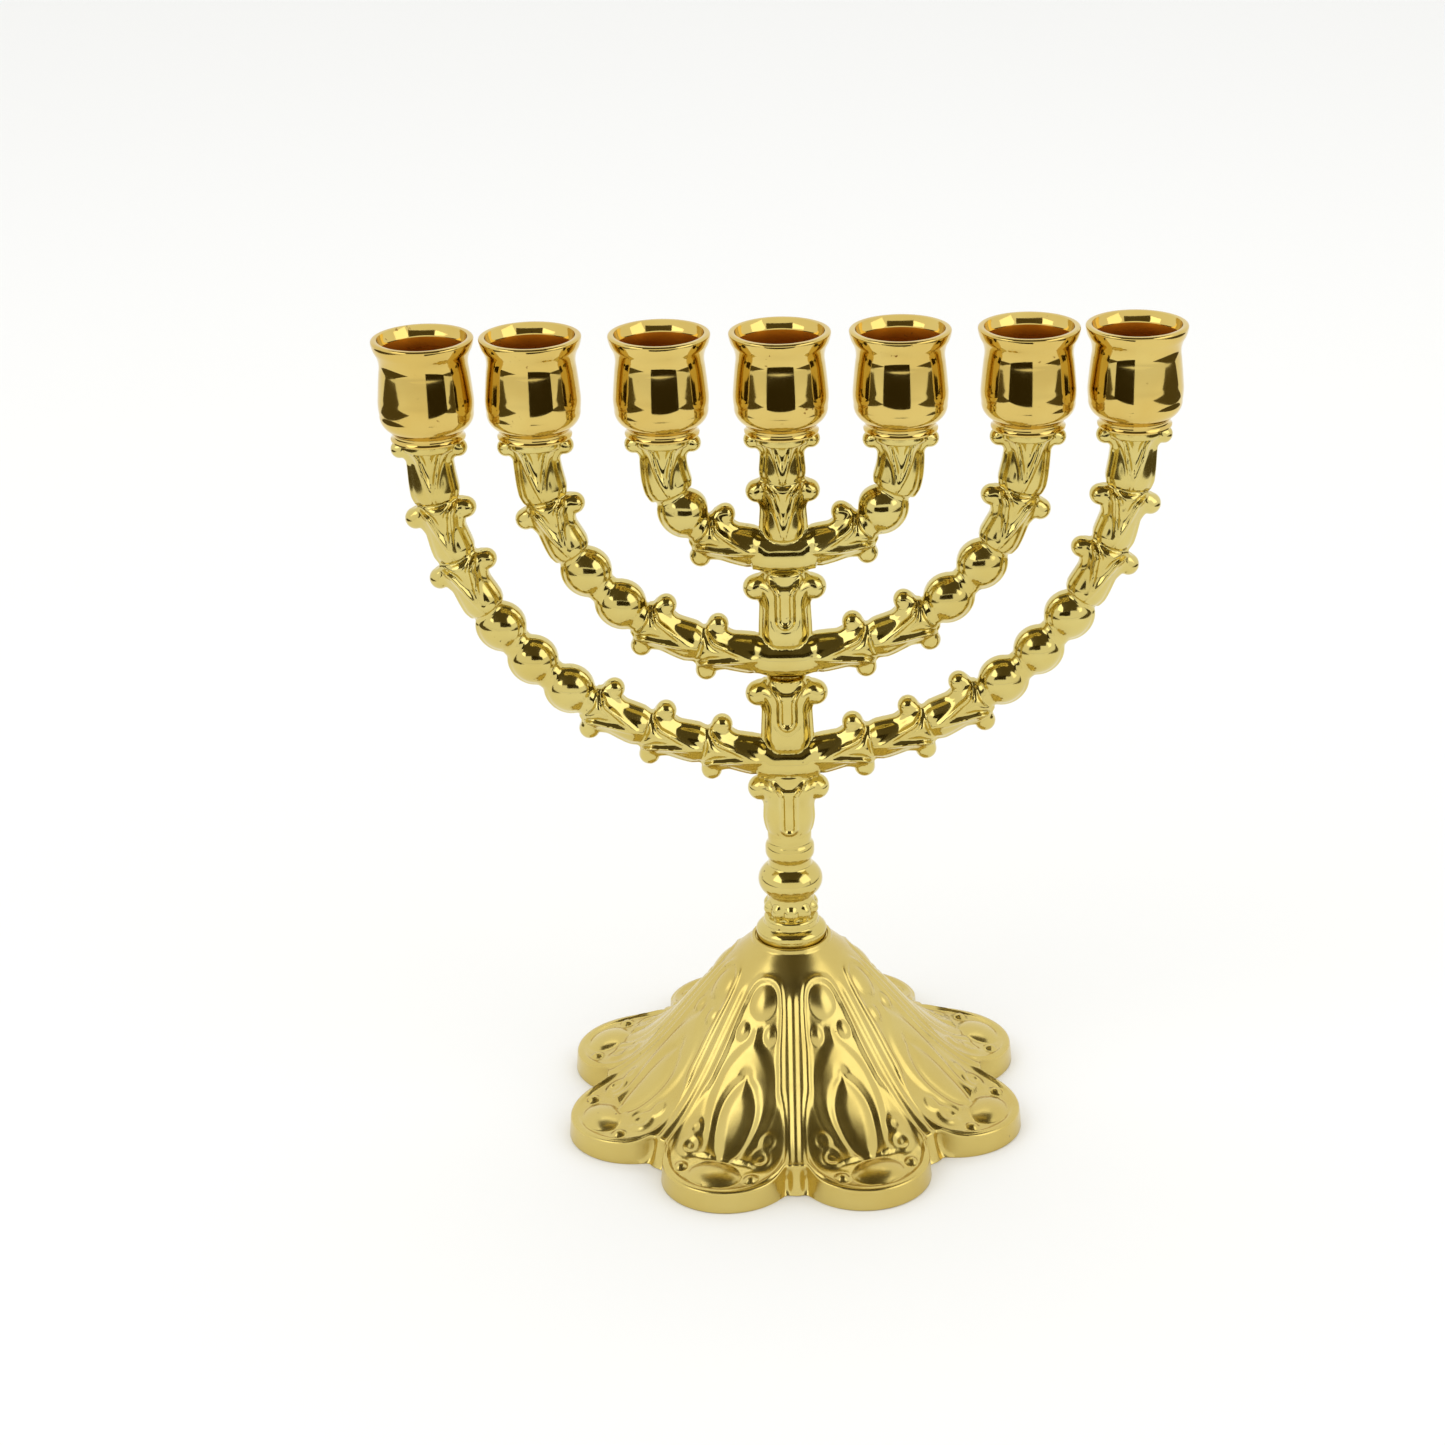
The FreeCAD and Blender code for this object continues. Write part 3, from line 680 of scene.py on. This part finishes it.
def closed_grid(grid):
    """Vertices and quads of a grid whose rows and columns both close on themselves."""
    rows, columns = grid.shape[:2]
    number = np.arange(rows * columns).reshape(rows, columns)
    right = np.roll(number, -1, axis=1)
    below = np.roll(number, -1, axis=0)
    corner = np.roll(right, -1, axis=0)
    quads = np.stack([number, right, corner, below], axis=-1).reshape(-1, 4)
    return grid.reshape(-1, 3), quads[:, ::-1]


# Cups ------------------------------------------------------------------------------------------

CUP_FLOOR = 3.5
CUP_RECESS = 5.3
CUP_BORE = 8.0
CUP_SCREW_HOLE = 1.55
BORE_START = 18.3


def arc_points(start, end, bulge, count):
    """Points along an arc from start to end; bulge is its height, left of travel positive."""
    start, end = np.array(start), np.array(end)
    chord = end - start
    left = np.array([-chord[1], chord[0]]) / np.hypot(*chord)
    share = np.linspace(0, 1, count + 1)[1:]
    return [start + chord * step + left * bulge * 4 * step * (1 - step) for step in share]


def cup_section():
    """The cup's closed half-section, from the screw hole out and back."""
    points = [np.array(point) for point in (
        (CUP_SCREW_HOLE, 0.0), (7.15, 0.0), (7.33, 0.12), (7.35, 0.42), (7.15, 0.62))]
    points += arc_points(points[-1], (7.1, 1.7), 0.14, 4)
    points += [np.array((7.35, 1.95)), np.array((7.7, 2.35))]
    points += arc_points(points[-1], (9.25, 5.6), -0.5, 10)
    points += arc_points(points[-1], (9.3, 9.0), -0.12, 8)
    points += arc_points(points[-1], (8.78, 14.2), -0.03, 8)
    points += arc_points(points[-1], (9.55, 18.2), 0.4, 10)
    points += arc_points(points[-1], (10.0, 19.9), -0.06, 4)
    points += arc_points(points[-1], (9.6, 20.48), -0.16, 4)
    points += arc_points(points[-1], (8.8, 20.42), -0.04, 4)
    points += arc_points(points[-1], (CUP_BORE + 0.12, 18.6), 0.06, 5)
    points += arc_points(points[-1], (CUP_BORE, BORE_START), 0.0, 1)
    points += arc_points(points[-1], (CUP_BORE, CUP_RECESS + 0.5), 0.0, 6)
    points += arc_points(points[-1], (CUP_BORE - 0.5, CUP_RECESS), -0.2, 4)
    points += [np.array((3.25, CUP_RECESS)), np.array((3.2, CUP_RECESS - 0.05)),
               np.array((3.2, CUP_FLOOR)), np.array((CUP_SCREW_HOLE, CUP_FLOOR))]
    return points


def cup_mesh(centre):
    """A cup turned about its own axis."""
    columns = 128
    turn = np.linspace(0, 2 * math.pi, columns, endpoint=False)
    grid = [np.stack([centre + reach * np.cos(turn), reach * np.sin(turn),
                      np.full(columns, TIP_RISE + rise)], axis=1) for reach, rise in cup_section()]
    return closed_grid(np.stack(grid))


def in_bore(centre):
    """Picks the faces of the candle bore below its bevelled mouth; they get the darker orange gold
    that paints the shade inside the bore.
    """
    def inner(spots):
        reach = np.hypot(spots[:, 0] - centre, spots[:, 1])
        rise = spots[:, 2] - TIP_RISE
        return (reach < CUP_BORE + 0.02) & (rise > CUP_FLOOR - 0.1) & (rise < BORE_START + 0.1)
    return inner


# Making objects --------------------------------------------------------------------------------

def build(name, mesh_data, body, node, materials, sharp=None, inner=None):
    """A piece that replaces a node. Faces that inner picks by centre get the second material."""
    vertices, quads = mesh_data
    mesh = bpy.data.meshes.new(name)
    mesh.vertices.add(len(vertices))
    mesh.vertices.foreach_set("co", (vertices * MM).astype(np.float32).ravel())
    mesh.loops.add(quads.size)
    mesh.loops.foreach_set("vertex_index", quads.astype(np.int32).ravel())
    mesh.polygons.add(len(quads))
    mesh.polygons.foreach_set("loop_start", np.arange(0, quads.size, 4, dtype=np.int32))
    mesh.update(calc_edges=True)
    mesh.validate()
    mesh.shade_smooth()
    if sharp is not None:
        mesh.set_sharp_from_angle(angle=math.radians(sharp))
    for material in materials:
        mesh.materials.append(material)
    if inner is not None:
        centres = vertices[quads].mean(axis=1)
        mesh.polygons.foreach_set("material_index", inner(centres).astype(np.int32))
    piece = bpy.data.objects.new(name, mesh)
    bpy.context.scene.collection.objects.link(piece)
    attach(piece, body)
    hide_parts(node)
    return piece


# Materials -------------------------------------------------------------------------------------

def principled(name, **values):
    """A node material, with its node tree and its shader."""
    material = bpy.data.materials.new(name)
    material.use_nodes = True
    tree = material.node_tree
    shader = tree.nodes["Principled BSDF"]
    for label, value in values.items():
        shader.inputs[label.replace("_", " ")].default_value = value
    return material, tree, shader


def noise(tree, scale, detail=4.0):
    """Noise in the object's own coordinates; scale counts features per metre."""
    place = tree.nodes.new("ShaderNodeTexCoord")
    texture = tree.nodes.new("ShaderNodeTexNoise")
    texture.inputs["Scale"].default_value = scale
    texture.inputs["Detail"].default_value = detail
    texture.inputs["Roughness"].default_value = 0.55
    tree.links.new(place.outputs["Object"], texture.inputs["Vector"])
    return texture.outputs["Fac"]


def ramp_node(tree, source, stops):
    """A colour ramp through (place, colour) stops."""
    node = tree.nodes.new("ShaderNodeValToRGB")
    tree.links.new(source, node.inputs["Fac"])
    elements = node.color_ramp.elements
    while len(elements) < len(stops):
        elements.new(0.5)
    for element, (place, colour) in zip(elements, stops):
        element.position = place
        element.color = (*colour, 1.0)
    return node.outputs["Color"]


def grey(tree, source, stops):
    return ramp_node(tree, source, [(place, (value,) * 3) for place, value in stops])


def bump_node(tree, shader, height, strength, distance):
    node = tree.nodes.new("ShaderNodeBump")
    node.inputs["Strength"].default_value = strength
    node.inputs["Distance"].default_value = distance
    tree.links.new(height, node.inputs["Height"])
    tree.links.new(node.outputs["Normal"], shader.inputs["Normal"])


def mixed(tree, share, first, second, blend="MIX"):
    node = tree.nodes.new("ShaderNodeMix")
    node.data_type = "RGBA"
    node.blend_type = blend
    if isinstance(share, float):
        node.inputs["Factor"].default_value = share
    else:
        tree.links.new(share, node.inputs["Factor"])
    for source, label in ((first, "A"), (second, "B")):
        socket = [one for one in node.inputs if one.name == label and one.type == "RGBA"][0]
        if isinstance(source, tuple):
            socket.default_value = (*source, 1.0)
        else:
            tree.links.new(source, socket)
    return [output for output in node.outputs if output.type == "RGBA"][0]


def gold(name, pale, deep, dull, smooth, wavy, specks):
    """Plated gold: colour drifts between two tones, with roughness, waviness and dark specks."""
    material, tree, shader = principled(name, Metallic=1.0)
    drift = grey(tree, noise(tree, 60.0), [(0.35, 0.0), (0.65, 1.0)])
    colour = mixed(tree, drift, pale, deep)
    spots = grey(tree, noise(tree, 900.0, 2.0), [(specks, 0.0), (specks + 0.05, 1.0)])
    patches = grey(tree, noise(tree, 110.0, 3.0), [(0.5, 0.0), (0.62, 1.0)])
    spotted = mixed(tree, 1.0, spots, patches, "MULTIPLY")
    colour = mixed(tree, spotted, colour, dull)
    tree.links.new(colour, shader.inputs["Base Color"])
    shine = grey(tree, noise(tree, 240.0, 5.0), [(0.3, smooth[0]), (0.7, smooth[1])])
    tree.links.new(shine, shader.inputs["Roughness"])
    bump_node(tree, shader, noise(tree, 420.0, 3.0), wavy, 0.0002)
    return material


def steel():
    material, tree, shader = principled("zinc_plated_steel", Metallic=1.0)
    drift = grey(tree, noise(tree, 500.0), [(0.3, 0.0), (0.7, 1.0)])
    colour = mixed(tree, drift, (0.60, 0.60, 0.58), (0.48, 0.49, 0.50))
    tree.links.new(colour, shader.inputs["Base Color"])
    shine = grey(tree, noise(tree, 900.0, 4.0), [(0.3, 0.22), (0.7, 0.38)])
    tree.links.new(shine, shader.inputs["Roughness"])
    bump_node(tree, shader, noise(tree, 2500.0, 2.0), 0.1, 0.0001)
    return material


# Stage -----------------------------------------------------------------------------------------

CAMERA_TARGET = Vector((0.0, 0.0, 0.0817))
CAMERA_DISTANCE = 0.65
CAMERA_ELEVATION = math.radians(24.0)
CAMERA_LENS = 79.03
CAMERA_ROLL = math.radians(1.15)
CAMERA_SHIFT = (-0.0452, 0.0169)
SENSOR_WIDTH = 36.0
FLOOR_HALF = 3.0
CARD_LIFT = 0.004


def aim(thing, target):
    thing.rotation_euler = (target - thing.location).to_track_quat("-Z", "Y").to_euler()


def make_camera():
    camera = bpy.data.cameras.new("camera")
    camera.lens = CAMERA_LENS
    camera.sensor_width = SENSOR_WIDTH
    camera.shift_x, camera.shift_y = CAMERA_SHIFT
    thing = bpy.data.objects.new("camera", camera)
    back = Vector((0.0, -math.cos(CAMERA_ELEVATION), math.sin(CAMERA_ELEVATION)))
    thing.location = CAMERA_TARGET + back * CAMERA_DISTANCE
    aim(thing, CAMERA_TARGET)
    thing.rotation_euler.rotate_axis("Z", -CAMERA_ROLL)
    bpy.context.scene.collection.objects.link(thing)
    bpy.context.scene.camera = thing


def flat_material(name, colour, strength=None):
    material, _, shader = principled(name, Roughness=0.9)
    shader.inputs["Base Color"].default_value = (*colour, 1.0)
    if strength is not None:
        shader.inputs["Emission Color"].default_value = (*colour, 1.0)
        shader.inputs["Emission Strength"].default_value = strength
    return material


def panel(name, corners, material):
    mesh = bpy.data.meshes.new(name)
    mesh.from_pydata(corners, [], [tuple(range(len(corners)))])
    mesh.materials.append(material)
    thing = bpy.data.objects.new(name, mesh)
    bpy.context.scene.collection.objects.link(thing)
    return thing


def make_floor():
    half = FLOOR_HALF
    panel("floor", [(-half, -half, 0), (half, -half, 0), (half, half, 0), (-half, half, 0)],
          flat_material("white_floor", (0.88, 0.88, 0.87)))


def painted_reflection_card(name, corners, shade):
    """A faintly glowing dark sheet that only mirror-like reflections see: a painted dark reflection.
    """
    material = flat_material(name, shade, 1.0)
    shader = material.node_tree.nodes["Principled BSDF"]
    shader.inputs["Base Color"].default_value = (0.0, 0.0, 0.0, 1.0)
    shader.inputs["Specular IOR Level"].default_value = 0.0
    card = panel(name, corners, material)
    card.visible_camera = False
    card.visible_diffuse = False
    card.visible_shadow = False


def make_painted_reflections():
    """Painted dark reflections for the polished metal: a small card just in front for the camera side,
    sheets overhead for the dark room past the lights, and sheets on the floor at both sides.
    """
    # deep and dim are the glow colours of these painted dark reflections.
    deep = (0.035, 0.026, 0.008)
    dim = (0.10, 0.08, 0.035)
    # A small dark card just in front of the holder, hidden from the camera: the painted dark
    # reflection down the middle of the cups.
    half, place, low, high = 0.055, -0.085, 0.124, 0.160
    painted_reflection_card("painted_front_reflection", [(-half, place, low), (half, place, low), (half, place, high),
                             (-half, place, high)], deep)
    # Sheets overhead that only reflections see: the painted dark room past the lights.
    half = 0.36
    route = [(-0.50, 0.41), (-0.38, 0.62), (0.30, 0.64)]
    for number, (near, far) in enumerate(zip(route, route[1:])):
        painted_reflection_card(f"room_{number}",
                  [(-half, *near), (half, *near), (half, *far), (-half, *far)], dim)
    # Dark sheets lying on the floor at both sides, hidden from the camera: painted dark side
    # reflections, so the floor looks darker only in the metal.
    for side in (-1, 1):
        near, far = side * 0.38, side * 1.40
        painted_reflection_card(f"painted_side_reflection_{side}",
                  [(near, -0.45, CARD_LIFT), (far, -0.45, CARD_LIFT),
                   (far, 0.30, CARD_LIFT), (near, 0.30, CARD_LIFT)], dim)


def make_lights():
    world = bpy.data.worlds.new("world")
    world.use_nodes = True
    world.node_tree.nodes["Background"].inputs["Color"].default_value = (1.0, 1.0, 0.99, 1.0)
    world.node_tree.nodes["Background"].inputs["Strength"].default_value = 1.0
    bpy.context.scene.world = world
    bpy.context.scene.view_settings.view_transform = "Standard"
    for name, place, size, power in (("key", (-0.7, -0.5, 0.9), 0.7, 1.6),
                                     ("fill", (0.8, -0.4, 0.7), 0.7, 1.2),
                                     ("top", (0.0, 0.3, 1.1), 0.8, 1.2)):
        light = bpy.data.lights.new(name, "AREA")
        light.size = size
        light.energy = power
        thing = bpy.data.objects.new(name, light)
        thing.location = place
        aim(thing, CAMERA_TARGET)
        bpy.context.scene.collection.objects.link(thing)


# Assembly --------------------------------------------------------------------------------------

make_camera()
make_lights()
make_floor()
make_painted_reflections()

cast_gold = gold("cast_gold", (0.675, 0.565, 0.20), (0.63, 0.50, 0.15), (0.10, 0.06, 0.02),
                 (0.07, 0.15), 0.05, 0.68)
base_gold = gold("base_gold", (0.655, 0.52, 0.17), (0.62, 0.475, 0.14), (0.16, 0.09, 0.03),
                 (0.19, 0.27), 0.03, 0.72)
cup_gold = gold("cup_gold", (0.70, 0.53, 0.16), (0.66, 0.47, 0.125), (0.22, 0.10, 0.02),
                (0.05, 0.10), 0.03, 0.68)
# The bore's darker, more orange gold is painted shade: the dimmer, inter-reflected light inside the
# recess, on the same plated gold as the cup.
bore_painted_shade_gold = gold("bore_painted_shade_gold", (0.60, 0.22, 0.014), (0.52, 0.17, 0.01), (0.30, 0.12, 0.02),
                 (0.42, 0.55), 0.10, 0.66)
steel_finish = steel()

build("casting", casting_mesh(), "frame", "branch_frame", [cast_gold], 50)
build("petal_base", base_mesh(), "base", "base", [base_gold], 50)
# In each cup the bore faces get the second gold, which paints the shade inside the bore.
for cup in CUPS:
    centre = cup_centre(cup)
    build(f"turned_{cup}", cup_mesh(centre), cup, cup, [cup_gold, bore_painted_shade_gold], 40,
          in_bore(centre))
for name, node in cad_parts.items():
    if "screw" in name or "washer" in name:
        node.data.materials.clear()
        node.data.materials.append(steel_finish)
